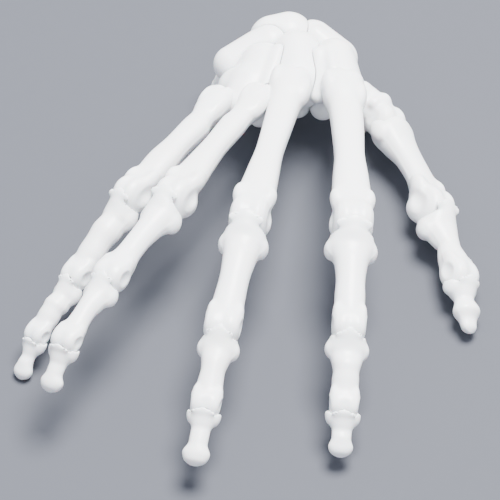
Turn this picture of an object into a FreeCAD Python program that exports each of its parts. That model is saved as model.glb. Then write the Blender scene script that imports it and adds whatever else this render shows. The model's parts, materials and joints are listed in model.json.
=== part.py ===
import FreeCAD, Part
import math
import os

from FreeCAD import Matrix, Placement, Vector

# A life-size right hand skeleton in moulded plastic, lying palm down. All lengths are millimetres.
# +Z is up, the fingers point along -Y and the thumb is on the +X side. Every phalanx turns on a nylon
# pin through the head of the bone before it, and the carpal bones are held together by steel rods.

# Hinges: a tongue on the far bone turns in a slot in the near bone's barrel-shaped head.
PIN_RADIUS = 1.0
PIN_CLEARANCE = 0.05
TONGUE_THICKNESS = 2.6
SLOT_CLEARANCE = 0.2
TONGUE_REACH = 0.62
TONGUE_NECK = 0.36
CUP_GAP = 0.35
PIN_RECESS = 0.25

# Wrist
SEAM = 0.35
ROD_RADIUS = 1.25
DOWEL_LENGTH = 11.0

# Sections of a bone have this many spline points and are a little squarer than an ellipse.
SECTION_POINTS = 12
SECTION_SQUARENESS = 0.88

# A hinge head's half outline: how far out along the pin, and the radius there, as shares.
BARREL_PROFILE = ((-1, 0.55), (-0.8, 0.86), (-0.45, 1.0), (0, 0.94), (0.45, 1.0), (0.8, 0.86), (1, 0.55))

# How far each hinge turns from rest, in degrees, back towards straight and on towards the palm.
KNUCKLE_TRAVEL = (25, 65)
MIDDLE_TRAVEL = (15, 70)
END_TRAVEL = (15, 50)
THUMB_KNUCKLE_TRAVEL = (15, 25)
THUMB_END_TRAVEL = (15, 40)
SADDLE_TRAVEL = (12, 8)


class Digit:
    """A digit: its metacarpal, then a chain of phalanges that bends in one plane.

    knuckle is the first hinge. yaw turns the plane away from -Y towards -X, and roll leans its
    dorsal side towards +X, both in degrees. pitch and length are each phalanx's slope and length
    from hinge to hinge, the last to its tip. base, waist and head are widths of the metacarpal and
    then of each phalanx, and barrel is the radius of each head that carries a hinge.
    """

    def __init__(self, name, carpal_end, knuckle, yaw, roll, pitch, length, base, waist, head, barrel):
        self.name = name
        self.carpal_end = Vector(*carpal_end)
        self.knuckle = Vector(*knuckle)
        self.pitch = pitch
        self.length = length
        self.base = base
        self.waist = waist
        self.head = head
        self.barrel = barrel
        turn = math.radians(yaw)
        lean = math.radians(roll)
        self.forward = Vector(-math.sin(turn), -math.cos(turn), 0)
        level_side = Vector(math.cos(turn), -math.sin(turn), 0)
        self.dorsal = Vector(0, 0, math.cos(lean)) + level_side * math.sin(lean)
        self.side = self.dorsal.cross(self.forward)

    def frame(self, number):
        """The placement of a phalanx: x along it, y to the radial side and z dorsal."""
        slope = math.radians(self.pitch[number])
        along = self.forward * math.cos(slope) + self.dorsal * math.sin(slope)
        at = self.knuckle
        for earlier in range(number):
            at = at + self.frame(earlier).Rotation.multVec(Vector(self.length[earlier], 0, 0))
        return axes_at(at, along, self.side)


def axes_at(origin, along, side):
    """A placement whose x runs along, with y as near to side as it can be."""
    x = Vector(along).normalize()
    z = x.cross(side).normalize()
    y = z.cross(x)
    return Placement(
        Matrix(x.x, y.x, z.x, origin.x, x.y, y.y, z.y, origin.y, x.z, y.z, z.z, origin.z, 0, 0, 0, 1)
    )


FINGERS = (
    Digit(
        "index", (33.1, 10.6, 27.8), (33.8, -57.3, 30.8), 2.1, 6.0,
        pitch=(-9.3, -22.1, -30.7), length=(40.2, 26.3, 16.6),
        base=(14.0, 17.4, 14.0, 10.8), waist=(9.0, 9.3, 8.2, 5.5), head=(15.2, 10.8, 9.2, 8.2),
        barrel=(7.4, 5.2, 3.9),
    ),
    Digit(
        "middle", (14.8, 12.0, 28.4), (-0.2, -56.4, 31.9), 11.3, 0.5,
        pitch=(-6.9, -16.1, -24.0), length=(43.4, 27.4, 20.0),
        base=(14.6, 16.4, 13.4, 10.4), waist=(9.0, 9.4, 7.4, 5.2), head=(14.6, 11.6, 9.4, 9.2),
        barrel=(7.4, 5.4, 4.0),
    ),
    Digit(
        "ring", (5.2, 8.0, 28.2), (-24.9, -48.8, 33.6), 30.3, -11.0,
        pitch=(-0.6, -7.4, -34.5), length=(39.5, 27.8, 17.2),
        base=(11.6, 14.0, 11.4, 10.0), waist=(7.6, 7.6, 6.4, 4.8), head=(13.4, 10.8, 9.0, 8.2),
        barrel=(6.8, 5.0, 3.8),
    ),
    Digit(
        "little", (-6.5, 10.5, 23.6), (-39.6, -42.5, 28.3), 38.1, -14.5,
        pitch=(-18.6, -19.3, -38.0), length=(34.0, 23.8, 15.6),
        base=(12.0, 12.2, 9.6, 8.4), waist=(7.4, 7.2, 5.8, 4.4), head=(11.2, 9.0, 7.6, 7.2),
        barrel=(6.0, 4.3, 3.3),
    ),
)
THUMB = Digit(
    "thumb", (47.6, 8.3, 11.6), (62.4, -32.2, 10.5), -17.6, 41.0,
    pitch=(-4.4, -15.2), length=(30.4, 22.0),
    base=(15.6, 15.6, 12.6), waist=(9.6, 7.8, 7.0), head=(14.2, 11.6, 6.4),
    barrel=(7.0, 5.4),
)

# The thumb's metacarpal turns on the trapezium.
SADDLE_BARREL = 6.2
SADDLE_WIDTH = 12.6


def along_metacarpal(digit):
    """A metacarpal's placement, from its end at the wrist towards the knuckle."""
    return axes_at(digit.carpal_end, digit.knuckle - digit.carpal_end, digit.side)


def section(distance, half_width, dorsal, palmar, lift=0.0):
    """A closed outline across a bone, with its own height above and below the centre line."""
    points = []
    for step in range(SECTION_POINTS):
        angle = 2 * math.pi * step / SECTION_POINTS
        across = math.cos(angle)
        up = math.sin(angle)
        reach = dorsal if up > 0 else palmar
        y = half_width * math.copysign(abs(across) ** SECTION_SQUARENESS, across)
        z = reach * math.copysign(abs(up) ** SECTION_SQUARENESS, up)
        points.append(Vector(distance, y, z + lift))
    outline = Part.BSplineCurve()
    outline.interpolate(points, PeriodicFlag=True)
    return Part.Wire(outline.toShape())


def shaft(stations):
    """A bone's body through sections given as (distance, half width, dorsal, palmar, lift)."""
    return Part.makeLoft([section(*station) for station in stations], True)


def turned(width, radius, gap=0.0):
    """A barrel turned about y. With a gap it is the hollow that clears that barrel, cut wider."""
    rim = [Vector(0, width / 2 * across, radius * reach + gap) for across, reach in BARREL_PROFILE]
    curve = Part.BSplineCurve()
    curve.interpolate(rim)
    first = rim[0]
    last = rim[-1]
    edges = [curve.toShape()]
    if gap:
        first = rim[0] - Vector(0, radius, 0)
        last = rim[-1] + Vector(0, radius, 0)
        edges = [Part.makeLine(first, rim[0]), curve.toShape(), Part.makeLine(rim[-1], last)]
    first_centre = Vector(0, first.y, 0)
    last_centre = Vector(0, last.y, 0)
    edges.append(Part.makeLine(last, last_centre))
    edges.append(Part.makeLine(last_centre, first_centre))
    edges.append(Part.makeLine(first_centre, first))
    return Part.Face(Part.Wire(edges)).revolve(Vector(0, 0, 0), Vector(0, 1, 0), 360)


def across_bone(radius, length):
    """A cylinder along y, centred on the hinge."""
    return Part.makeCylinder(radius, length, Vector(0, -length / 2, 0), Vector(0, 1, 0))


def placed(shape, placement):
    """A copy of a shape moved from the origin to a placement."""
    moved = shape.copy()
    moved.Placement = placement.multiply(moved.Placement)
    return moved


def tongue(radius):
    """The flat tongue round a bone's pin, and its neck out into the base."""
    disc = across_bone(radius * TONGUE_REACH, TONGUE_THICKNESS)
    height = 2 * radius * TONGUE_NECK
    neck = Part.makeBox(
        1.3 * radius, TONGUE_THICKNESS, height, Vector(0, -TONGUE_THICKNESS / 2, -height / 2)
    )
    return disc.fuse(neck)


def slot(radius, travel):
    """The room that a tongue sweeps in a head over its travel either way from the x axis."""
    width = TONGUE_THICKNESS + 2 * SLOT_CLEARANCE
    disc = across_bone(radius * TONGUE_REACH + 2 * SLOT_CLEARANCE, width)
    spread = math.degrees(math.asin(TONGUE_NECK / TONGUE_REACH)) + 4
    start = -travel[1] - spread
    end = travel[0] + spread
    steps = 6
    fan = [Vector(0, -width / 2, 0)]
    for step in range(steps + 1):
        angle = math.radians(start + (end - start) * step / steps)
        fan.append(Vector(2 * radius * math.cos(angle), -width / 2, 2 * radius * math.sin(angle)))
    fan.append(fan[0])
    sector = Part.Face(Part.makePolygon(fan)).extrude(Vector(0, width, 0))
    return disc.fuse(sector)


def with_head(bone, at, width, radius, travel):
    """A bone with its hinge head: the barrel, the slot for the next bone, and the pin's bore."""
    head = bone.fuse(placed(turned(width, radius), at))
    head = head.cut(placed(slot(radius, travel), at))
    return head.cut(placed(across_bone(PIN_RADIUS, 4 * width), at))


def with_hinged_base(bone, width, radius):
    """A bone whose near end is hollowed to turn on the head before it, with its tongue and bore."""
    hollow = bone.cut(turned(width, radius, CUP_GAP))
    joined = hollow.fuse(tongue(radius))
    return joined.cut(across_bone(PIN_RADIUS + PIN_CLEARANCE, 2 * width))


def pin(at, width):
    """A steel pin that ends just inside both sides of a head."""
    return placed(across_bone(PIN_RADIUS, width - 2 * PIN_RECESS), at)


def phalanx(digit, number):
    """A phalanx in its own frame, from the hinge at its near end."""
    length = digit.length[number]
    near = digit.barrel[number]
    base = digit.base[number + 1] / 2
    waist = digit.waist[number + 1] / 2
    head = digit.head[number + 1] / 2
    is_last = number == len(digit.length) - 1
    stations = [
        (0.30 * near, 0.90 * base, 0.80 * near, 0.84 * near),
        (0.75 * near, base, 0.86 * near, 0.92 * near),
        (1.50 * near, 0.86 * base, 0.72 * near, 0.76 * near),
    ]
    if is_last:
        stations += [
            (0.52 * length, waist, 0.80 * waist, 0.72 * waist),
            (0.64 * length, 0.85 * head, 0.62 * head, 0.48 * head),
            (0.76 * length, head, 0.62 * head, 0.50 * head),
            (0.90 * length, 0.80 * head, 0.50 * head, 0.42 * head),
            (length, 0.32 * head, 0.20 * head, 0.20 * head),
        ]
    else:
        far = digit.barrel[number + 1]
        lift = 0.015 * length
        stations += [
            (0.38 * length, 0.6 * waist + 0.4 * 0.8 * base, waist, 0.86 * waist, lift),
            (0.60 * length, waist, 0.90 * waist, 0.72 * waist, lift),
            (length - 1.5 * far, 0.55 * waist + 0.45 * head, 0.70 * far, 0.56 * far, lift / 2),
            (length - 0.9 * far, 0.86 * head, 0.66 * far, 0.56 * far, 0),
            (length - 0.2 * far, 0.86 * head, 0.72 * far, 0.72 * far, 0),
        ]
    return with_hinged_base(shaft(stations), digit.head[number], near)


def metacarpal(digit, grown=0.0):
    """A finger's metacarpal in its own frame, from its flat end at the wrist, or one grown all round."""
    length = digit.knuckle.distanceToPoint(digit.carpal_end)
    far = digit.barrel[0]
    base = digit.base[0] / 2
    waist = digit.waist[0] / 2
    head = digit.head[0] / 2
    stations = [
        (SEAM / 2 - grown, base, 1.05 * base, 1.15 * base),
        (0.12 * length, 0.92 * base, 0.92 * base, 1.05 * base),
        (0.28 * length, 1.12 * waist, 1.15 * waist, 1.15 * waist),
        (0.55 * length, waist, waist, waist),
        (length - 1.9 * far, 0.6 * waist + 0.4 * head, 0.66 * far, 0.54 * far),
        (length - 0.9 * far, 0.86 * head, 0.72 * far, 0.54 * far),
        (length - 0.2 * far, 0.88 * head, 0.80 * far, 0.78 * far),
    ]
    return shaft([(at, wide + grown, up + grown, down + grown) for at, wide, up, down in stations])


def thumb_metacarpal():
    """The thumb's metacarpal in its own frame, from its hinge on the trapezium."""
    length = THUMB.knuckle.distanceToPoint(THUMB.carpal_end)
    near = SADDLE_BARREL
    far = THUMB.barrel[0]
    base = THUMB.base[0] / 2
    waist = THUMB.waist[0] / 2
    head = THUMB.head[0] / 2
    stations = [
        (0.35 * near, 0.92 * base, 0.95 * near, 0.95 * near),
        (0.90 * near, base, 1.05 * near, 1.10 * near),
        (1.90 * near, 0.80 * base, 0.80 * near, 0.90 * near),
        (0.58 * length, waist, 0.80 * waist, 0.86 * waist),
        (length - 1.5 * far, 0.6 * waist + 0.4 * head, 0.60 * far, 0.58 * far),
        (length - 0.9 * far, 0.86 * head, 0.70 * far, 0.64 * far),
        (length - 0.2 * far, 0.88 * head, 0.78 * far, 0.78 * far),
    ]
    return with_hinged_base(shaft(stations), SADDLE_WIDTH, near)


# The carpal bones: the centre, the half sizes and the turn about Z of the rounded form that each is
# cut from. The wrist is arched, highest at the capitate, with its two rims lower.
CARPALS = {
    "trapezium": ((43.0, 16.5, 16.0), (10.0, 10.5, 11.5), -20),
    "trapezoid": ((31.5, 21.5, 24.5), (11.0, 13.5, 12.0), 0),
    "capitate": ((17.5, 25.0, 23.5), (12.5, 16.0, 13.0), 5),
    "hamate": ((0.5, 20.0, 19.5), (14.5, 15.0, 13.0), 15),
    "scaphoid": ((29.0, 37.0, 21.0), (13.5, 12.0, 11.5), -35),
    "lunate": ((11.0, 43.0, 20.5), (12.5, 11.0, 11.5), 0),
    "triquetrum": ((-3.5, 35.0, 18.0), (12.5, 10.5, 10.0), 25),
    "pisiform": ((-8.0, 32.0, 5.6), (6.2, 6.6, 6.2), 0),
}
# The trapezium's tubercle and the hook of the hamate reach down to the palm side.
TUBERCLE = ((42.0, 17.0, 6.4), (4.6, 6.0, 7.0), 0)
HOOK = ((2.0, 15.5, 9.5), (3.4, 5.0, 6.0), 0)

CARPAL_SEAMS = (
    ("trapezium", "trapezoid"),
    ("trapezoid", "capitate"),
    ("capitate", "hamate"),
    ("trapezium", "scaphoid"),
    ("trapezoid", "scaphoid"),
    ("capitate", "scaphoid"),
    ("capitate", "lunate"),
    ("scaphoid", "lunate"),
    ("lunate", "triquetrum"),
    ("lunate", "hamate"),
    ("hamate", "triquetrum"),
    ("triquetrum", "pisiform"),
    ("hamate", "pisiform"),
    ("capitate", "triquetrum"),
)
# The carpal bones that meet each finger's metacarpal.
METACARPAL_SEATS = {
    "index": ("trapezoid", "trapezium", "capitate"),
    "middle": ("capitate", "trapezoid", "hamate"),
    "ring": ("hamate", "capitate"),
    "little": ("hamate",),
}
BLOCK = 120.0
# The pisiform and the trapezium's tubercle have small flats on which the heel of the hand rests.
REST_HEIGHT = 0.0


def rounded(centre, half_sizes, turn):
    """A rounded form lofted along its own long axis, which is turned from X about Z."""
    long_half, wide_half, high_half = half_sizes
    stations = []
    for latitude in (-78, -52, -26, 0, 26, 52, 78):
        share = math.cos(math.radians(latitude))
        along = long_half * math.sin(math.radians(latitude))
        stations.append((along, wide_half * share, high_half * share, high_half * share))
    direction = Vector(math.cos(math.radians(turn)), math.sin(math.radians(turn)), 0)
    side = Vector(-direction.y, direction.x, 0)
    return placed(shaft(stations), axes_at(Vector(*centre), direction, side))


def beyond(point, normal):
    """A large block that fills one side of a plane, the side that the normal points to."""
    block = Part.makeBox(BLOCK, BLOCK, BLOCK, Vector(0, -BLOCK / 2, -BLOCK / 2))
    side = Vector(0, 0, 1) if abs(normal.z) < 0.9 * normal.Length else Vector(0, 1, 0)
    return placed(block, axes_at(point, normal, side))


def seam_sides(first, second):
    """The two sides of the seam between two carpal bones: a point and a normal out of each bone."""
    start = Vector(*CARPALS[first][0])
    end = Vector(*CARPALS[second][0])
    first_size = sum(CARPALS[first][1])
    second_size = sum(CARPALS[second][1])
    middle = start + (end - start) * (first_size / (first_size + second_size))
    out = (end - start).normalize()
    return (middle - out * (SEAM / 2), out), (middle + out * (SEAM / 2), out * -1)


def carpal_cells():
    """The flat-sided cell that each carpal bone may fill, so that neighbours meet along seams."""
    cells = {}
    for name, (centre, _, _) in CARPALS.items():
        corner = Vector(*centre) - Vector(BLOCK, BLOCK, BLOCK) * 0.25
        cells[name] = Part.makeBox(BLOCK / 2, BLOCK / 2, BLOCK / 2, corner)
    for first, second in CARPAL_SEAMS:
        first_side, second_side = seam_sides(first, second)
        cells[first] = cells[first].cut(beyond(*first_side))
        cells[second] = cells[second].cut(beyond(*second_side))
    return cells


def wrist_and_palm():
    """The carpal bones and the four finger metacarpals, cut apart along their seams."""
    bones = {name: rounded(*form) for name, form in CARPALS.items()}
    bones["trapezium"] = bones["trapezium"].fuse(rounded(*TUBERCLE))
    bones["hamate"] = bones["hamate"].fuse(rounded(*HOOK))
    for name, cell in carpal_cells().items():
        bones[name] = bones[name].common(cell)
    below = beyond(Vector(0, 0, REST_HEIGHT), Vector(0, 0, -1))
    for name in ("pisiform", "trapezium"):
        bones[name] = bones[name].cut(below)
    palm = {digit.name: placed(metacarpal(digit), along_metacarpal(digit)) for digit in FINGERS}
    for digit in FINGERS:
        room = placed(metacarpal(digit, SEAM), along_metacarpal(digit))
        for name in METACARPAL_SEATS[digit.name]:
            bones[name] = bones[name].cut(room)
    for near, far in zip(FINGERS[:-1], FINGERS[1:]):
        line = (near.knuckle - near.carpal_end) + (far.knuckle - far.carpal_end)
        out = line.cross(Vector(0, 0, 1)).normalize()
        middle = (near.carpal_end + far.carpal_end) * 0.5
        palm[near.name] = palm[near.name].cut(beyond(middle - out * (SEAM / 2), out))
        palm[far.name] = palm[far.name].cut(beyond(middle + out * (SEAM / 2), out * -1))
    return bones, palm


# Steel rods through the wrist: one along each row of carpal bones and one between the rows. Each is
# given by its two ends and the bones that it passes through.
RODS = {
    "distal_row_rod": (
        (46.0, 18.5, 19.0), (-5.5, 18.5, 19.0), ("trapezium", "trapezoid", "capitate", "hamate"),
    ),
    "proximal_row_rod": ((34.0, 38.5, 20.0), (-9.0, 38.5, 19.0), ("scaphoid", "lunate", "triquetrum")),
    "midcarpal_dowel": ((15.0, 27.0, 25.5), (13.0, 46.0, 25.0), ("capitate", "lunate")),
    "pisiform_dowel": ((-8.0, 33.0, 4.0), (-6.0, 34.0, 15.0), ("pisiform", "triquetrum")),
}


def rod(start, end):
    """A round rod between two points."""
    return Part.makeCylinder(ROD_RADIUS, start.distanceToPoint(end), start, end - start)


def metacarpal_dowel(digit):
    """A dowel across the flat joint between a metacarpal and the wrist."""
    line = (digit.knuckle - digit.carpal_end).normalize()
    return rod(digit.carpal_end - line * (DOWEL_LENGTH / 2), digit.carpal_end + line * (DOWEL_LENGTH / 2))


def add_digit(pieces, digit, travels, start_name):
    """A digit's phalanges and hinge pins, given the metacarpal that carries them."""
    bone = pieces[start_name]
    name = start_name
    count = len(digit.length)
    kinds = ("proximal", "middle", "distal") if count == 3 else ("proximal", "distal")
    for number in range(count):
        at = digit.frame(number)
        width = digit.head[number]
        pieces[name] = with_head(bone, at, width, digit.barrel[number], travels[number])
        pieces[f"{digit.name}_{kinds[number]}_pin"] = pin(at, width)
        bone = placed(phalanx(digit, number), at)
        name = f"{digit.name}_{kinds[number]}_phalanx"
        pieces[name] = bone


def build():
    """Every piece by name, in the frame in which the digits are given."""
    bones, palm = wrist_and_palm()
    pieces = dict(bones)
    saddle = along_metacarpal(THUMB)
    pieces["trapezium"] = with_head(
        pieces["trapezium"], saddle, SADDLE_WIDTH, SADDLE_BARREL, SADDLE_TRAVEL
    )
    pieces["thumb_saddle_pin"] = pin(saddle, SADDLE_WIDTH)
    for name, (start, end, through) in RODS.items():
        pieces[name] = rod(Vector(*start), Vector(*end))
        for bone in through:
            pieces[bone] = pieces[bone].cut(pieces[name])
    for digit in FINGERS:
        dowel = metacarpal_dowel(digit)
        seat = METACARPAL_SEATS[digit.name][0]
        pieces[seat] = pieces[seat].cut(dowel)
        pieces[f"{digit.name}_metacarpal"] = palm[digit.name].cut(dowel)
        pieces[f"{digit.name}_metacarpal_dowel"] = dowel
        travels = (KNUCKLE_TRAVEL, MIDDLE_TRAVEL, END_TRAVEL)
        add_digit(pieces, digit, travels, f"{digit.name}_metacarpal")
    pieces["thumb_metacarpal"] = placed(thumb_metacarpal(), saddle)
    add_digit(pieces, THUMB, (THUMB_KNUCKLE_TRAVEL, THUMB_END_TRAVEL), "thumb_metacarpal")
    return pieces


def origin_under(pieces):
    """The point of the table that is under the middle of the whole hand."""
    box = FreeCAD.BoundBox()
    for shape in pieces.values():
        box.add(shape.optimalBoundingBox(False, False))
    return Vector(box.Center.x, box.Center.y, REST_HEIGHT)


pieces = build()
origin = origin_under(pieces)
os.makedirs("parts", exist_ok=True)
for name, shape in pieces.items():
    shape.translate(origin * -1)
    shape.exportStep(f"parts/{name}.step")
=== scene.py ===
import bpy
import json
import math
import numpy as np
from mathutils import Matrix, Vector

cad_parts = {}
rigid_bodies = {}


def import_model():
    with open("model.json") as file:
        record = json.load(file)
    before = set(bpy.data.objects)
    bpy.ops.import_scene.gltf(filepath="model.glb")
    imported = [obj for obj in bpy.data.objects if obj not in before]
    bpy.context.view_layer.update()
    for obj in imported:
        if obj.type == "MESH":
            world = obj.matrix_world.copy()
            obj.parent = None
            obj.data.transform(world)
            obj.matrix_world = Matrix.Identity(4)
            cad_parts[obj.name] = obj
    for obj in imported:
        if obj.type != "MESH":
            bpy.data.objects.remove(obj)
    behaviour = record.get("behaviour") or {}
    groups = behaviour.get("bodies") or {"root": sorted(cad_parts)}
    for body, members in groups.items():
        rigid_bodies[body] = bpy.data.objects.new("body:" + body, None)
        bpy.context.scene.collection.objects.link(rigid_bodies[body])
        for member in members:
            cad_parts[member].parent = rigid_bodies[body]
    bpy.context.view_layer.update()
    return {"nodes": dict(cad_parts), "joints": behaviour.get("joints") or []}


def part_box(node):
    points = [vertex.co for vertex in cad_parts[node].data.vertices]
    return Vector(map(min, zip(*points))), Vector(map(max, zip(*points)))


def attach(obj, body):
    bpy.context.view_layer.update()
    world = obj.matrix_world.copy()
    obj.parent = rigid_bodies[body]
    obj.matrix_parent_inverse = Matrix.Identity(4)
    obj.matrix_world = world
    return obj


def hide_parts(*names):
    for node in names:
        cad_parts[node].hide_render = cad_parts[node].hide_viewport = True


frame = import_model()

MM = 0.001


# ---- The view ----
# The hand lies palm down and is seen from in front of the fingertips and well above them, through
# a long lens that keeps the fingers' widths nearly even from the tips to the wrist.

VIEW_RISE = math.radians(48.1)
VIEW_DISTANCE = 0.8147
VIEW_TARGET = Vector((0.0003, -0.0156, 0.0200))

lens = bpy.data.cameras.new("view")
lens.sensor_width = 36.0
lens.lens = 177.0
lens.clip_start = 0.05
camera = bpy.data.objects.new("view", lens)
bpy.context.scene.collection.objects.link(camera)
away = Vector((0, -math.cos(VIEW_RISE), math.sin(VIEW_RISE)))
camera.location = VIEW_TARGET + away * VIEW_DISTANCE
camera.rotation_euler = (math.pi / 2 - VIEW_RISE, 0, 0)
bpy.context.scene.camera = camera


# ---- Wrist bones ----
# Eight carpal bones, each moulded in white plastic and threaded on hidden rods, so they touch along
# rounded seams. Two of them, the pisiform and the tubercle of the trapezium, rest on the table.

GRAIN = 0.42

hinges = {joint["name"]: joint for joint in frame["joints"]}


class Pose:
    """A bone's own frame in millimetres: u runs along it, v to its thumb side and w to its back."""

    def __init__(self, origin, along, side):
        u = Vector(along).normalized()
        w = u.cross(Vector(side)).normalized()
        self.origin = np.array(origin, float)
        self.axes = np.array([u, w.cross(u), w], float)

    def local(self, points):
        """The u, v and w of world points."""
        flat = (points - self.origin) @ self.axes.T
        return flat[..., 0], flat[..., 1], flat[..., 2]

    def world(self, points):
        return points @ self.axes + self.origin


def hinge_place(name):
    """A hinge's centre, in millimetres, and its axis, towards the thumb side."""
    joint = hinges[name]
    return Vector(joint["pos_m"]) / MM, Vector(joint["axis"])


def middle_and_half(node):
    """The middle and the half sizes of a CAD node's box, in millimetres."""
    low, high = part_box(node)
    return (Vector(low) + Vector(high)) / (2 * MM), (Vector(high) - Vector(low)) / (2 * MM)


def melt(a, b, soft):
    """The union of two fields, with a fillet of about this size where they meet."""
    near = np.clip(0.5 + 0.5 * (b - a) / soft, 0, 1)
    return b + (a - b) * near - soft * near * (1 - near)


def pare(a, b, soft):
    """A field cut back by another, with a rounded edge of about this size."""
    return -melt(-a, b, soft)


def egg(spot, at, radii):
    """The distance to an ellipsoid, close to its surface."""
    scaled = [(s - a) / r for s, a, r in zip(spot, at, radii)]
    level = np.sqrt(sum(s**2 for s in scaled)) + 1e-6
    slope = np.sqrt(sum((s / r) ** 2 for s, r in zip(scaled, radii))) + 1e-6
    return level * (level - 1) / slope


def lumps(field, spot, shapes):
    """A field with ellipsoids of (place, radii, fillet) melted on. A fillet below 0 pares one off."""
    for at, radii, soft in shapes:
        form = egg(spot, at, radii)
        field = melt(field, form, soft) if soft > 0 else pare(field, form, -soft)
    return field


def net(field):
    """The corners, in cells, and the quads of a mesh round the part of a grid below zero."""
    spots = np.zeros(tuple(n - 1 for n in field.shape) + (3,))
    hits = np.zeros(spots.shape[:3])
    edges = []
    for axis in range(3):
        ends = np.moveaxis(field, axis, 0)
        a, b = ends[:-1], ends[1:]
        cross = (a < 0) != (b < 0)
        share = np.where(cross, a / np.where(cross, a - b, 1), 0)
        cross = np.moveaxis(cross, 0, axis)
        share = np.moveaxis(share, 0, axis)
        leaves = np.moveaxis(a < 0, 0, axis)
        edges.append((cross, leaves))
        others = [k for k in range(3) if k != axis]
        for steps in ((0, 0), (0, 1), (1, 0), (1, 1)):
            cut = [slice(None)] * 3
            offset = np.zeros(3)
            for k, step in zip(others, steps):
                cut[k] = slice(step, field.shape[k] - 1 + step)
                offset[k] = step
            here = cross[tuple(cut)]
            spots += here[..., None] * offset
            spots[..., axis] += share[tuple(cut)] * here
            hits += here
    live = hits > 0
    number = np.full(hits.shape, -1)
    number[live] = np.arange(live.sum())
    where = np.argwhere(live) + spots[live] / hits[live][:, None]
    faces = []
    for axis in range(3):
        cross, leaves = edges[axis]
        i = np.argwhere(cross)
        out = leaves[cross]
        first, second = (axis + 1) % 3, (axis + 2) % 3
        step_one = np.eye(3, dtype=int)[first]
        step_two = np.eye(3, dtype=int)[second]
        ring = [number[tuple((i - a).T)] for a in (step_one + step_two, step_two, 0 * step_one, step_one)]
        quads = np.stack(ring, 1)
        quads[~out] = quads[~out][:, ::-1]
        faces.append(quads)
    return where, np.concatenate(faces)


def sample(grid, where):
    """A grid read between its points."""
    base = np.clip(np.floor(where).astype(int), 0, np.array(grid.shape) - 2)
    t = where - base
    total = 0
    for corner in np.ndindex(2, 2, 2):
        weight = np.prod(np.where(np.array(corner), t, 1 - t), axis=1)
        total = total + weight * grid[tuple((base + corner).T)]
    return total


def moulded(name, pose, low, high, field_of):
    """A bone's mesh from its field, on a grid in the bone's own frame."""
    low = np.array(low, float)
    counts = np.ceil((np.array(high) - low) / GRAIN).astype(int) + 1
    steps = [low[k] + GRAIN * np.arange(counts[k]) for k in range(3)]
    grid = np.stack(np.meshgrid(*steps, indexing="ij"), -1)
    field = field_of(pose.world(grid))
    where, faces = net(field)
    slopes = np.gradient(field)
    for _ in range(2):
        push = np.stack([sample(slope, where) for slope in slopes], 1)
        level = sample(field, where)
        step = push * (level / np.maximum((push**2).sum(1), 1e-4))[:, None]
        where = where - np.clip(step, -0.4, 0.4)
    spots = pose.world(low + where * GRAIN) * MM
    mesh = bpy.data.meshes.new(name)
    mesh.from_pydata(spots.tolist(), [], faces.tolist())
    mesh.validate()
    mesh.shade_smooth()
    piece = bpy.data.objects.new(name, mesh)
    bpy.context.scene.collection.objects.link(piece)
    return piece


def finish_piece(piece, node, body, paint):
    """Gives a piece its material and its body, and hides the CAD node that it stands for."""
    piece.data.materials.append(paint)
    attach(piece, body)
    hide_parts(node)


class Field:
    """One value or colour in a material, with sums and products written as usual."""

    def __init__(self, paint, socket):
        self.paint = paint
        self.socket = socket

    def math(self, kind, *others):
        node = self.paint.tree.nodes.new("ShaderNodeMath")
        node.operation = kind
        for socket, value in zip(node.inputs, (self, *others)):
            self.paint.feed(socket, value)
        return Field(self.paint, node.outputs[0])

    def __add__(self, other):
        return self.math("ADD", other)

    def __mul__(self, other):
        return self.math("MULTIPLY", other)

    __radd__ = __add__
    __rmul__ = __mul__

    def ramp(self, low, high):
        """0 below low, 1 above high, and smooth between."""
        span = self.paint.node("ShaderNodeMapRange", {"interpolation_type": "SMOOTHSTEP"}, Value=self)
        span.socket.node.inputs["From Min"].default_value = low
        span.socket.node.inputs["From Max"].default_value = high
        return span


class Paint:
    """A procedural material round one Principled shader."""

    def __init__(self, name, **constants):
        self.material = bpy.data.materials.new(name)
        self.material.use_nodes = True
        self.tree = self.material.node_tree
        self.shader = self.tree.nodes["Principled BSDF"]
        for key, value in constants.items():
            self.shader.inputs[key.replace("_", " ")].default_value = value

    def feed(self, socket, value):
        if isinstance(value, Field):
            self.tree.links.new(value.socket, socket)
        else:
            socket.default_value = value

    def node(self, kind, settings, output=0, **values):
        node = self.tree.nodes.new(kind)
        for key, value in settings.items():
            setattr(node, key, value)
        for key, value in values.items():
            self.feed(node.inputs[key.replace("_", " ")], value)
        return Field(self, node.outputs[output])

    def blend(self, share, first, second):
        """A colour between two, by a share from 0 to 1."""
        node = self.tree.nodes.new("ShaderNodeMix")
        node.data_type = "RGBA"
        self.feed(node.inputs[0], share)
        self.feed(node.inputs[6], first)
        self.feed(node.inputs[7], second)
        return Field(self, node.outputs[2])

    def show(self, **values):
        for key, value in values.items():
            self.feed(self.shader.inputs[key.replace("_", " ")], value)
        return self.material


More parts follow.
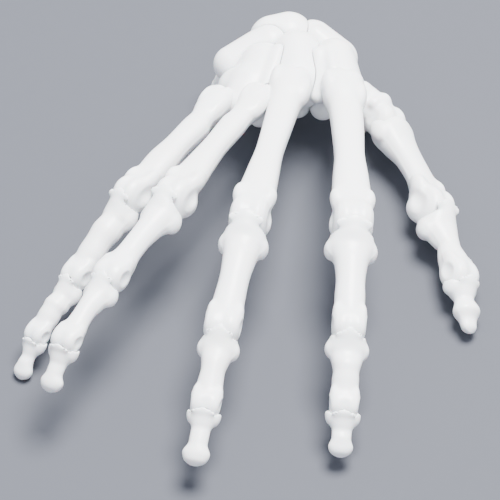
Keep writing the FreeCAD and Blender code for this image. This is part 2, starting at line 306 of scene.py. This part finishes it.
def white_plastic(name, tone, seed):
    """Semi-gloss moulded plastic, a little translucent, with faint flow streaks and handling marks."""
    paint = Paint(name, Subsurface_Weight=0.12, Subsurface_Scale=0.004, IOR=1.47)
    place = paint.node("ShaderNodeTexCoord", {}, 3)

    def noise(shift, scale, detail):
        return paint.node("ShaderNodeTexNoise", {"noise_dimensions": "4D"},
                          Vector=place, W=seed + shift, Scale=scale, Detail=detail)

    drift = noise(0, 38, 3)
    mottle = noise(5, 260, 4)
    speck = noise(9, 1300, 2)
    stain = drift.ramp(0.42, 0.72)
    cool = (tone * 0.965, tone * 0.98, tone, 1)
    warm = (tone * 0.93, tone * 0.925, tone * 0.91, 1)
    colour = paint.blend(stain * 0.55 + mottle * 0.12, cool, warm)
    dust = speck.ramp(0.70, 0.80)
    colour = paint.blend(dust * 0.14, colour, (tone * 0.7, tone * 0.69, tone * 0.66, 1))
    rough = 0.27 + drift * 0.12 + mottle.ramp(0.45, 0.75) * 0.10
    height = drift * 0.5 + mottle * 0.22 + speck * 0.05
    skin = paint.node("ShaderNodeBump", {}, Height=height, Strength=0.16, Distance=0.0006)
    return paint.show(Base_Color=colour, Roughness=rough, Normal=skin)


bone_white = white_plastic("bone_white", 0.90, 1.0)

DIGITS = ("index", "middle", "ring", "little", "thumb")
# widths across the bones of each digit, in millimetres, from its metacarpal to its tip
BASE = {"index": (15.4, 17.4, 14, 10.8), "middle": (14.6, 16.4, 13.4, 10.4), "ring": (10.4, 14, 11.4, 10),
        "little": (11, 12.2, 9.6, 8.4), "thumb": (15.6, 15.6, 12.6)}
WAIST = {"index": (10.2, 9.4, 8.2, 5.8), "middle": (9.4, 9.6, 7.6, 5.6), "ring": (8.2, 7.8, 6.6, 5.2),
         "little": (8.8, 8.8, 7.2, 5.0), "thumb": (10, 8, 9.2)}
HEAD = {"index": (15.2, 10.8, 9.2, 8.2), "middle": (14.6, 11.6, 9.4, 9.2), "ring": (13.4, 10.8, 9, 8.2),
        "little": (11.2, 9, 7.6, 7.2), "thumb": (14.2, 11.6, 7.0)}
# radii of the hinge heads
RADIUS = {"index": (7.4, 5.2, 3.9), "middle": (7.4, 5.4, 4.0), "ring": (6.8, 5.0, 3.8),
          "little": (6.0, 4.3, 3.3), "thumb": (7.0, 5.4)}
# the tip bone's length, and its bend in degrees from the bone before
TIP = {"index": (16.6, 8.6), "middle": (20.0, 7.9), "ring": (17.2, 27.1), "little": (15.6, 18.7),
       "thumb": (22.0, 10.8)}
# how far along a metacarpal its wrist end starts, and how far that end lies to the thumb side
HEEL = {"index": (0, -0.8), "middle": (0, 0), "ring": (4.0, 0.3), "little": (4.0, -1.6)}


def chain(digit):
    """The poses and lengths of a digit's bones, from the wrist to the tip."""
    if digit == "thumb":
        names = ["thumb_saddle", "thumb_knuckle", "thumb_end_joint"]
        spots = [hinge_place(name)[0] for name in names]
    else:
        names = [digit + "_knuckle", digit + "_middle_joint", digit + "_end_joint"]
        spots = [middle_and_half(digit + "_metacarpal_dowel")[0]] + [hinge_place(name)[0] for name in names]
    side = hinge_place(names[-1])[1]
    ways = [b - a for a, b in zip(spots, spots[1:])]
    length, bend = TIP[digit]
    turn = Matrix.Rotation(math.radians(bend), 3, side)
    ways.append(turn @ ways[-1].normalized() * length)
    return [Pose(spot, way, side) for spot, way in zip(spots, ways)], [way.length for way in ways]


POSES = {digit: chain(digit)[0] for digit in DIGITS}
LENGTHS = {digit: chain(digit)[1] for digit in DIGITS}

PIN_BORE = 1.08
TONGUE_HALF = 1.3
SLOT_HALF = 1.5
TONGUE_REACH = 0.62
TONGUE_NECK = 0.36
CUP_GAP = 0.35
SLOT_GAP = 0.4
SLOT_SPREAD = 4
LIP_LEAD = 27
BORE_SPARE = 0.15
BARREL = ((-1, 0.55), (-0.8, 0.86), (-0.45, 1.0), (0, 0.94), (0.45, 1.0), (0.8, 0.86), (1, 0.55))
KNUCKLE = (25, 65)
MIDDLE_JOINT = (15, 70)
END_JOINT = (15, 50)
THUMB_KNUCKLE = (15, 25)
THUMB_END = (15, 40)
KNUCKLE_PIN = 0.33
PIN_SHARE = {"index": 0.36, "middle": 0.435, "ring": 0.36, "little": 0.36, "thumb": 0.36}


def flow(stations, column, at):
    """One column of a bone's stations read along its first column, without overshoot."""
    x = np.array([row[0] for row in stations], float)
    y = np.array([row[column] for row in stations], float)
    gaps = np.diff(x)
    slopes = np.diff(y) / gaps
    turns = slopes[:-1] * slopes[1:] > 0
    even = np.where(turns, 2 * slopes[:-1] * slopes[1:] / np.where(turns, slopes[:-1] + slopes[1:], 1), 0)
    ends = np.concatenate([[slopes[0]], even, [slopes[-1]]])
    at = np.clip(at, x[0], x[-1])
    i = np.clip(np.searchsorted(x, at) - 1, 0, len(gaps) - 1)
    t = (at - x[i]) / gaps[i]
    first = y[i] * (2 * t**3 - 3 * t**2 + 1) + y[i + 1] * (3 * t**2 - 2 * t**3)
    return first + gaps[i] * (ends[i] * (t**3 - 2 * t**2 + t) + ends[i + 1] * (t**3 - t**2))


def limb(spot, stations, back_power=2.2, palm_power=2.6, end_soft=1.6):
    """A shaft through stations of (distance, half width, back, palm, lift, drift)."""
    u, v, w = spot
    wide = flow(stations, 1, u)
    across = np.abs(v - flow(stations, 5, u)) / wide + 1e-6
    rise = w - flow(stations, 4, u)
    tall = np.where(rise > 0, flow(stations, 2, u), flow(stations, 3, u))
    power = np.where(rise > 0, back_power, palm_power)
    up = np.abs(rise) / tall + 1e-6
    level = (across**power + up**power) ** (1 / power)
    slope = level ** (1 - power) * np.hypot(across ** (power - 1) / wide, up ** (power - 1) / tall)
    skin = (level - 1) / slope
    past = np.maximum(stations[0][0] - u, u - stations[-1][0])
    return pare(skin, -past, end_soft)


def barrel(spot, width, radius):
    """A hinge head turned about v: two condyles with a shallow groove between them."""
    u, v, w = spot
    reach = radius * flow(BARREL, 1, v / (width / 2))
    ring = np.hypot(u, w)
    return pare(ring - reach, width / 2 - np.abs(v), 0.8)


def slotted(field, spot, radius, travel, deep):
    """A head with the slot that the next bone's tongue sweeps, and the bore for its pin."""
    u, v, w = spot
    ring = np.hypot(u, w)
    spread = math.degrees(math.asin(TONGUE_NECK / TONGUE_REACH)) + SLOT_SPREAD
    low = -math.radians(travel[1] + spread)
    high = math.radians(travel[0] + spread)
    sector = np.maximum(u * math.sin(low) - w * math.cos(low), w * math.cos(high) - u * math.sin(high))
    room = np.minimum(ring - radius * TONGUE_REACH - SLOT_GAP, sector)
    bore = np.maximum(ring - PIN_BORE, np.abs(v) - deep)
    return np.maximum(np.maximum(field, -np.maximum(np.abs(v) - SLOT_HALF, room)), -bore)


def socketed(field, spot, width, radius, back):
    """A base hollowed for the head before it, with a tongue round the pin and a lip over the slot."""
    u, v, w = spot
    reach = radius * flow(BARREL, 1, v / (width / 2)) + CUP_GAP
    ring = np.hypot(u, w)
    swing = (np.arctan2(w, u) - math.radians(back + LIP_LEAD)) * radius
    rim = (0.34 * radius, 0.40 * width, 0.45 + 0.05 * radius)
    lip = egg((swing, v, ring - radius - 0.3), (0, 0, 0), rim)
    hollow = pare(melt(field, lip, 0.8), ring - reach, 0.3)
    neck = np.maximum(np.abs(w) - radius * TONGUE_NECK, np.maximum(-u, u - 1.3 * radius))
    tongue = np.maximum(np.abs(v) - TONGUE_HALF, np.minimum(ring - radius * TONGUE_REACH, neck))
    return np.maximum(np.minimum(hollow, tongue), PIN_BORE - ring)


def parting_line(field, spot, start, end, height=0.1):
    """The faint ridge that the mould leaves along both sides."""
    u, v, w = spot
    along = np.clip((u - start) / 3, 0, 1) * np.clip((end - u) / 3, 0, 1)
    return field - height * along * np.exp(-((w / 0.35) ** 2))


# each wrist bone's lumps: rounded cones from one place and radius to another, then the fillet, with
# 0 for the first
CARPAL_LUMPS = {
    "trapezium": (
        ((39.5, 61.5, 12.4), 7.2, (44.6, 57.5, 11.6), 6.6, 0),
        ((42.5, 61.4, 5.2), 5.2, (42.5, 61, 8), 5, 2),
        ((38.5, 57.5, 17.8), 3.0, (40.0, 63, 17.2), 3.2, 1.2),
        ((44.0, 56.0, 17.2), 2.6, (47, 59, 15.2), 3.2, 1),
    ),
    "trapezoid": (
        ((31.0, 60.0, 23.4), 8.8, (30.0, 71.0, 24.4), 7.6, 0),
        ((29.4, 59.0, 30.8), 2.2, (28.2, 70, 30.6), 2, 1),
        ((24.0, 68.0, 29.6), 2.6, (24.0, 52.5, 24.0), 2.5, 3.0),
        ((26.0, 57.0, 14.5), 4.6, (29, 64, 17), 6, 2),
    ),
    "capitate": (
        ((17.3, 61.5, 22.4), 9.6, (17.0, 73.2, 23.8), 9.3, 0),
        ((16.8, 60.0, 13.0), 5.0, (17, 66, 15), 7, 2),
    ),
    "hamate": (
        ((-0.5, 56.0, 20.5), 7.4, (5.5, 69.0, 20.4), 10.4, 0),
        ((-3.5, 62.5, 18.0), 7.8, (4, 62, 19), 9.5, 2),
        ((-3.4, 52.4, 20.5), 6.0, (0, 60, 21), 8, 2),
        ((5.4, 52.5, 26.6), 2.4, (10.6, 70, 29.4), 2.6, 2.0),
        ((3.6, 58.0, 8.5), 3.6, (3.6, 60, 14), 5, 2),
    ),
    "scaphoid": (
        ((22.6, 85.4, 19.0), 8.2, (31.2, 77.4, 18.4), 7.6, 0),
        ((24.0, 83, 25.2), 3, (34.0, 74.5, 21.8), 2.4, 1.6),
    ),
    "lunate": (
        ((8.6, 85.0, 21.0), 8.6, (14.2, 85.8, 21.4), 9.0, 0),
    ),
    "triquetrum": (
        ((-6.0, 74.0, 19.0), 6.8, (7.6, 80.6, 22.2), 8.0, 0),
        ((-3.0, 78.0, 15.0), 7.2, (3, 80, 16), 7.5, 2),
    ),
    "pisiform": (
        ((-7.6, 76.4, 5.6), 6.1, (-7.4, 76.4, 7.4), 5.4, 0),
    ),
}
SEAM_HALF = 0.06
SEAM_EDGE = 0.5
HEEL_GAP = 0.1
HAMATE_GAP = 0.12
FLOOR_CLEAR = 0.02
CARPAL_ROOM = 7
SADDLE = (12.6, 6.2)
SADDLE_TRAVEL = (12, 8)
SADDLE_CUP = (6.6, 6.9)
SADDLE_NECK = (2.2, 4)
SADDLE_BORE = 5.7
SADDLE_PIN = 5.4


def cone(points, start, first, end, last):
    """The distance to a rounded cone between two places."""
    start = np.array(start, float)
    way = np.array(end, float) - start
    share = np.clip(((points - start) @ way) / (way @ way), 0, 1)
    away = points - start - share[..., None] * way
    return np.sqrt((away**2).sum(-1)) - first - share * (last - first)


def carpal_lump(name, points):
    """A wrist bone before its neighbours press on it."""
    field = 0
    for start, first, end, last, soft in CARPAL_LUMPS[name]:
        form = cone(points, start, first, end, last)
        field = melt(field, form, soft) if soft else form
    return field


def metacarpal_heel(digit, points):
    """The wrist end of a metacarpal, as its neighbours in the wrist feel it."""
    base = BASE[digit][0]
    start, drift = HEEL[digit]
    return egg(POSES[digit][0].local(points), (start + 7.0, drift, -0.6), (9.8, 0.47 * base, 0.60 * base))


def carpal(name, points):
    """A wrist bone, parted from every neighbour by a narrow rounded seam."""
    own = carpal_lump(name, points)
    field = own
    for other in CARPAL_LUMPS:
        if other != name:
            field = pare(field, (carpal_lump(other, points) - own) / 2 - SEAM_HALF, SEAM_EDGE)
    for digit in DIGITS[:2]:
        field = pare(field, metacarpal_heel(digit, points) - HEEL_GAP, SEAM_EDGE)
    if name == "trapezium":
        near = POSES["thumb"][0].local(points)
        field = melt(field, barrel(near, *SADDLE), 1.0)
        field = slotted(field, near, SADDLE[1], SADDLE_TRAVEL, SADDLE_BORE)
    return np.maximum(field, FLOOR_CLEAR - points[..., 2])


for name in CARPAL_LUMPS:
    centre, half = middle_and_half(name)
    pose = Pose(centre, (1, 0, 0), (0, 1, 0))
    room = half + CARPAL_ROOM * Vector((1, 1, 1))
    piece = moulded(name + "_bone", pose, -room, room, lambda points, name=name: carpal(name, points))
    finish_piece(piece, name, "palm", bone_white)


# ---- Finger metacarpals ----
# The four palm bones, one white moulding each: a block at the wrist, a waisted shaft with a flat
# back, and a rounded knuckle slotted for the finger's tongue. A nylon pin crosses each knuckle.

def knuckle_head(field, spot, near, length, head, radius):
    """A metacarpal's head: a barrel, with a tubercle above and a condyle below on each side."""
    field = melt(field, barrel(near, 0.86 * head, radius), 2.0)
    for side in (-1, 1):
        bump = (length - 1.12 * radius, side * 0.36 * head, 0.36 * radius)
        tail = (length - 0.22 * radius, side * 0.30 * head, -0.52 * radius)
        pit = (length - 0.26 * radius, side * 0.56 * head, 0.06 * radius)
        field = lumps(field, spot, ((bump, (3.4, 0.13 * head, 0.36 * radius), 2.4),
                                    (tail, (0.62 * radius, 0.17 * head, 0.50 * radius), 1.6),
                                    (pit, (0.50 * radius, 0.145 * head, 0.44 * radius), -1.0)))
    return field


def metacarpal(digit, points):
    pose, near = POSES[digit][:2]
    length = LENGTHS[digit][0]
    base, waist, head, radius = BASE[digit][0], WAIST[digit][0], HEAD[digit][0], RADIUS[digit][0]
    spot = pose.local(points)
    start, drift = HEEL[digit]
    stations = (
        (start - 3.2, 0.40 * base, 0.36 * base, 0.48 * base, 0.0, drift),
        (start + 1.5, 0.48 * base, 0.44 * base, 0.56 * base, 0.0, drift),
        (start + 8.0, 0.46 * base, 0.41 * base, 0.52 * base, 0.0, drift),
        (start + 14.0, 0.38 * base, 0.34 * base, 0.44 * base, 0.2, 0.5 * drift),
        (0.36 * length, 0.54 * waist, 0.47 * waist, 0.60 * waist, 0.5, 0),
        (0.54 * length, 0.50 * waist, 0.45 * waist, 0.57 * waist, 0.7, 0),
        (0.71 * length, 0.59 * waist, 0.49 * waist, 0.60 * waist, 0.5, 0),
        (length - 1.35 * radius, 0.43 * head, 0.62 * radius, 0.72 * radius, 0.2, 0),
        (length - 0.4 * radius, 0.38 * head, 0.74 * radius, 0.82 * radius, 0, 0),
    )
    field = limb(spot, stations, 2.5, 1.9)
    field = lumps(field, spot, (
        ((start + 7.5, drift + 0.38 * base, 0.10 * base), (4.6, 0.13 * base, 0.24 * base), 1.8),
        ((start + 2.4, drift - 0.36 * base, 0.18 * base), (4.6, 0.13 * base, 0.22 * base), 1.8),
        ((start - 3.6, drift + 0.05 * base, 0.42 * base), (3.4, 0.10 * base, 0.12 * base), -1.2),
    ))
    field = knuckle_head(field, spot, near.local(points), length, head, radius)
    field = parting_line(field, spot, 6, length - radius)
    if digit in ("ring", "little"):
        field = pare(field, carpal_lump("hamate", points) - HAMATE_GAP, SEAM_EDGE)
    return slotted(field, near.local(points), radius, KNUCKLE, KNUCKLE_PIN * head + BORE_SPARE)


for digit in DIGITS[:4]:
    pose, length = POSES[digit][0], LENGTHS[digit][0]
    reach = 0.5 * max(BASE[digit][0], HEAD[digit][0]) + 2.2
    piece = moulded(digit + "_metacarpal_bone", pose, (-5, -reach, -reach - 1.5),
                    (length + RADIUS[digit][0] + 1, reach, reach + 1),
                    lambda points, digit=digit: metacarpal(digit, points))
    finish_piece(piece, digit + "_metacarpal", "palm", bone_white)


# ---- Thumb metacarpal ----
# Shorter and broader than the others, and free to rock on the trapezium: a wide saddle at the wrist,
# a flattened shaft, and a broad knuckle with a lobe on each side.


def thumb_metacarpal(points):
    pose, near = POSES["thumb"][:2]
    length = LENGTHS["thumb"][0]
    base, waist, head, radius = BASE["thumb"][0], WAIST["thumb"][0], HEAD["thumb"][0], RADIUS["thumb"][0]
    spot = pose.local(points)
    u, v, w = spot
    stations = (
        (3.4, 0.44 * base, 5.4, 5.8, 0, 0),
        (6.5, 0.52 * base, 6.2, 6.6, 0, 0),
        (12, 0.44 * base, 5.4, 5.6, 0, 0.2),
        (0.48 * length, 0.54 * waist, 4.2, 4.2, 0.6, 0.6),
        (0.64 * length, 0.52 * waist, 4.0, 4.0, 0.8, 0.6),
        (0.80 * length, 0.60 * waist, 4.4, 4.6, 0.4, 0.3),
        (length - 1.0 * radius, 0.44 * head, 0.66 * radius, 0.74 * radius, 0.1, 0),
        (length - 0.4 * radius, 0.41 * head, 0.74 * radius, 0.78 * radius, 0, 0),
    )
    field = limb(spot, stations, 2.4, 2.1)
    field = lumps(field, spot, (
        ((7.0, 0.44 * base, -1.0), (4.2, 2.2, 3.2), 1.4),
        ((6.8, -0.44 * base, -0.5), (4.2, 2.2, 3.0), 1.4),
        ((5.4, 0, 4.6), (3.6, 3.6, 1.9), 1.4),
    ))
    field = knuckle_head(field, spot, near.local(points), length, head, radius)
    field = parting_line(field, spot, 9, length - radius)
    ring = np.hypot(u, w)
    hollow = pare(field, np.maximum(ring - SADDLE_CUP[0], np.abs(v) - SADDLE_CUP[1]), 0.4)
    neck = np.maximum(np.abs(w) - SADDLE_NECK[0], np.abs(u - SADDLE_NECK[1]) - SADDLE_NECK[1])
    tongue = np.maximum(np.abs(v) - TONGUE_HALF, np.minimum(ring - SADDLE[1] * TONGUE_REACH, neck))
    field = np.maximum(np.minimum(hollow, tongue), PIN_BORE - ring)
    return slotted(field, near.local(points), radius, THUMB_KNUCKLE, KNUCKLE_PIN * head + BORE_SPARE)


piece = moulded("thumb_metacarpal_bone", POSES["thumb"][0], (-5, -10.5, -9.5),
                (LENGTHS["thumb"][0] + 8.5, 10.5, 9.5), thumb_metacarpal)
finish_piece(piece, "thumb_metacarpal", "thumb_metacarpal", bone_white)


# ---- Proximal and middle finger bones ----
# Each is one white moulding: a broad base hollowed for the knuckle before it, a shaft with a rounded
# back and a flat palm side, and a narrower two-lobed head. A pin crosses the tongue at each joint.


def phalanx(digit, k, travel, points):
    pose, near = POSES[digit][k:k + 2]
    length = LENGTHS[digit][k]
    base, waist, head = BASE[digit][k], WAIST[digit][k], HEAD[digit][k]
    before, radius = RADIUS[digit][k - 1], RADIUS[digit][k]
    spot = pose.local(points)
    flare = 3.2 if k == 1 else 2.6
    stations = (
        (0.20 * before, 0.36 * base, 1.24 * before, 0.66 * before, -0.12 * before, 0),
        (before - 0.8, 0.42 * base, 1.14 * before, 0.66 * before, -0.22 * before, 0),
        (before + 0.9 * flare, 0.465 * base, 0.96 * before, 0.58 * before, -0.26 * before, 0),
        (before + 1.7 * flare, 0.40 * base, 0.86 * before, 0.50 * before, -0.20 * before, 0),
        (before + 2.9 * flare, 0.57 * waist, 0.56 * waist, 0.44 * waist, -0.04 * before, 0),
        (0.60 * length, 0.50 * waist, 0.47 * waist, 0.40 * waist, 0.3, 0),
        (length - 2.2 * radius, 0.52 * waist, 0.46 * waist, 0.41 * waist, 0.2, 0),
        (length - 1.1 * radius, 0.455 * head, 0.88 * radius, 0.84 * radius, 0, 0),
        (length - 0.3 * radius, 0.46 * head, 0.92 * radius, 0.90 * radius, 0, 0),
    )
    field = limb(spot, stations, 2.0, 2.8)
    for side in (-1, 1):
        wing = (before + 0.9 * flare, side * 0.385 * base, -0.34 * before)
        foot = (before + 0.6 * flare, side * 0.27 * base, -0.68 * before)
        knob = (length - 0.85 * radius, side * 0.38 * head, 0.30 * radius)
        field = lumps(field, spot, ((wing, (flare, 0.115 * base, 0.40 * before), 1.6),
                                    (foot, (flare * 0.9, 0.13 * base, 0.24 * before), 1.4),
                                    (knob, (0.55 * radius, 0.12 * head, 0.40 * radius), 1.6)))
    field = melt(field, barrel(near.local(points), head, radius), 2.0)
    for side in (-1, 1):
        pit = (length - 0.10 * radius, side * 0.58 * head, 0.02 * radius)
        field = lumps(field, spot, ((pit, (0.55 * radius, 0.125 * head, 0.50 * radius), -0.8),))
    field = parting_line(field, spot, before + 2, length - 0.6 * radius)
    field = socketed(field, spot, HEAD[digit][k - 1], before, (KNUCKLE if k == 1 else MIDDLE_JOINT)[0])
    return slotted(field, near.local(points), radius, travel, PIN_SHARE[digit] * head + BORE_SPARE)


def mould_phalanx(digit, k, kind, form):
    """The piece for bone k of a digit, riding on its own body."""
    reach = 0.5 * BASE[digit][k] + 2.5
    back = RADIUS[digit][k - 1]
    ahead = RADIUS[digit][k] + 1 if k < len(RADIUS[digit]) else 1.5
    low = (-0.7 * back - 1, -reach, -1.1 * back - 2)
    high = (LENGTHS[digit][k] + ahead, reach, 1.1 * back + 2)
    piece = moulded(digit + "_" + kind + "_bone", POSES[digit][k], low, high, form)
    finish_piece(piece, digit + "_" + kind + "_phalanx", digit + "_" + kind, bone_white)


for digit in DIGITS:
    travel = THUMB_END if digit == "thumb" else MIDDLE_JOINT
    mould_phalanx(digit, 1, "proximal", lambda points, d=digit, t=travel: phalanx(d, 1, t, points))
for digit in DIGITS[:4]:
    mould_phalanx(digit, 2, "middle", lambda points, d=digit: phalanx(d, 2, END_JOINT, points))


# ---- Finger tips ----
# The last bone of each digit is one small white moulding: a broad base, a narrow neck and a flattened
# pad at the end, shaped like a spade. Nothing is fixed beyond it.


def distal(digit, points):
    k = len(BASE[digit]) - 1
    pose, length = POSES[digit][k], LENGTHS[digit][k]
    base, waist, head = BASE[digit][k], WAIST[digit][k], HEAD[digit][k]
    before = RADIUS[digit][k - 1]
    spot = pose.local(points)
    stations = (
        (0.20 * before, 0.42 * base, 1.24 * before, 0.74 * before, -0.12 * before, 0),
        (before - 1.2, 0.475 * base, 1.14 * before, 0.72 * before, -0.18 * before, 0),
        (before + 0.6, 0.44 * base, 0.98 * before, 0.66 * before, -0.18 * before, 0),
        (before + 2.4, 0.36 * base, 0.80 * before, 0.58 * before, -0.14 * before, 0),
        (before + 4.4, 0.29 * base, 0.62 * before, 0.50 * before, -0.08 * before, 0),
        (0.63 * length, 0.53 * waist, 0.46 * waist, 0.46 * waist, 0, 0),
        (0.80 * length, 0.475 * head, 0.33 * head, 0.38 * head, -0.2, 0),
        (0.91 * length, 0.40 * head, 0.28 * head, 0.34 * head, -0.2, 0),
        (length, 0.24 * head, 0.16 * head, 0.22 * head, -0.2, 0),
    )
    field = limb(spot, stations, 2.0, 2.2, 2.4)
    for side in (-1, 1):
        wing = (before - 0.4, side * 0.39 * base, -0.24 * before)
        field = lumps(field, spot, ((wing, (2.3, 0.11 * base, 0.44 * before), 1.8),))
    field = parting_line(field, spot, before + 2, length + 3, 0.08)
    return socketed(field, spot, HEAD[digit][k - 1], before, END_JOINT[0])


for digit in DIGITS:
    mould_phalanx(digit, len(BASE[digit]) - 1, "distal", lambda points, d=digit: distal(d, points))


# ---- Rods, dowels and hinge pins ----
# Plain stock cut to length. The wrist's rods and dowels are bright steel and out of sight. The hinge
# pins are white nylon, pressed into bores in the heads, and most of them end inside the bone.

pin_white = white_plastic("pin_white", 0.80, 7.0)
steel = Paint("rod_steel", Metallic=1.0)
along_rod = steel.node("ShaderNodeTexCoord", {}, 3)
scratch = steel.node("ShaderNodeTexNoise", {}, Vector=along_rod, Scale=900, Detail=3)
rod_steel = steel.show(
    Base_Color=steel.blend(scratch, (0.52, 0.53, 0.55, 1), (0.70, 0.71, 0.72, 1)),
    Roughness=0.22 + scratch * 0.2,
)
for name in ("midcarpal_dowel", "pisiform_dowel", *[digit + "_metacarpal_dowel" for digit in DIGITS[:4]]):
    node = frame["nodes"][name]
    node.data.materials.clear()
    node.data.materials.append(rod_steel)


def turned_rod(name, centre, axis, half, radius, crown):
    """A rod with a crowned and chamfered end at each side, turned about its axis."""
    profile = [(-half - crown, 0), (-half - 0.8 * crown, 0.45 * radius), (-half, 0.82 * radius),
               (-half + 0.25, radius), (half - 0.25, radius), (half, 0.82 * radius),
               (half + 0.8 * crown, 0.45 * radius), (half + crown, 0)]
    around = 40
    turn = Vector(axis).to_track_quat("Z", "Y").to_matrix()
    spots = []
    for along, out in profile:
        for step in range(around if out else 1):
            angle = 2 * math.pi * step / around
            spot = turn @ Vector((out * math.cos(angle), out * math.sin(angle), along))
            spots.append((spot + Vector(centre)) * MM)
    faces = []
    for step in range(around):
        after = (step + 1) % around
        faces.append((0, 1 + after, 1 + step))
        for ring in range(len(profile) - 3):
            first = 1 + ring * around
            faces.append((first + step, first + after, first + around + after, first + around + step))
        last = 1 + (len(profile) - 3) * around
        faces.append((last + step, last + after, len(spots) - 1))
    mesh = bpy.data.meshes.new(name)
    mesh.from_pydata(spots, [], faces)
    mesh.shade_smooth()
    rod = bpy.data.objects.new(name, mesh)
    bpy.context.scene.collection.objects.link(rod)
    return rod


for name, shorten in (("distal_row_rod", 9), ("proximal_row_rod", 8)):
    centre, half = middle_and_half(name)
    rod = turned_rod(name + "_turned", centre, (1, 0, 0), half.x - shorten, 1.25, 0.15)
    finish_piece(rod, name, "palm", rod_steel)

for joint in frame["joints"]:
    name = joint["name"]
    digit, kind = name.split("_", 1)
    centre, axis = hinge_place(name)
    if name == "thumb_saddle":
        pin, body, half = "thumb_saddle_pin", "palm", SADDLE_PIN
    elif kind == "knuckle":
        pin, body, half = digit + "_proximal_pin", joint["parent"], KNUCKLE_PIN * HEAD[digit][0]
    else:
        far = 1 if kind == "middle_joint" or digit == "thumb" else 2
        pin = digit + ("_distal_pin" if kind == "end_joint" else "_middle_pin")
        body, half = joint["parent"], PIN_SHARE[digit] * HEAD[digit][far]
    piece = turned_rod(pin + "_turned", centre, axis, half - 0.1, 1.0, 0.25)
    finish_piece(piece, pin, body, pin_white)


# ---- Table and light ----
# The hand lies on a plain blue-grey sheet, under one broad soft light from above.

sheet = bpy.data.meshes.new("table")
sheet.from_pydata([(-3, -3, 0), (3, -3, 0), (3, 3, 0), (-3, 3, 0)], [], [(0, 1, 2, 3)])
table = bpy.data.objects.new("table", sheet)
bpy.context.scene.collection.objects.link(table)
paper = Paint("table_paper", Specular_IOR_Level=0.2)
on_sheet = paper.node("ShaderNodeTexCoord", {}, 3)
weave = paper.node("ShaderNodeTexNoise", {}, Vector=on_sheet, Scale=220, Detail=4)
sheet.materials.append(paper.show(
    Base_Color=paper.blend(weave, (0.062, 0.066, 0.080, 1), (0.069, 0.073, 0.088, 1)),
    Roughness=0.6 + weave * 0.2,
))


def soft_light(name, place, aim, size, power, colour):
    lamp = bpy.data.lights.new(name, "AREA")
    lamp.shape = "DISK"
    lamp.size = size
    lamp.energy = power
    lamp.color = colour
    holder = bpy.data.objects.new(name, lamp)
    holder.location = place
    holder.rotation_euler = (Vector(aim) - Vector(place)).to_track_quat("-Z", "Y").to_euler()
    bpy.context.scene.collection.objects.link(holder)


soft_light("overhead", (0.25, 0.25, 1.3), (0, 0, 0), 0.75, 100, (1.0, 0.99, 0.97))
world = bpy.data.worlds.new("room")
bpy.context.scene.world = world
world.use_nodes = True
world.node_tree.nodes["Background"].inputs["Color"].default_value = (0.86, 0.90, 1.0, 1)
world.node_tree.nodes["Background"].inputs["Strength"].default_value = 1.6
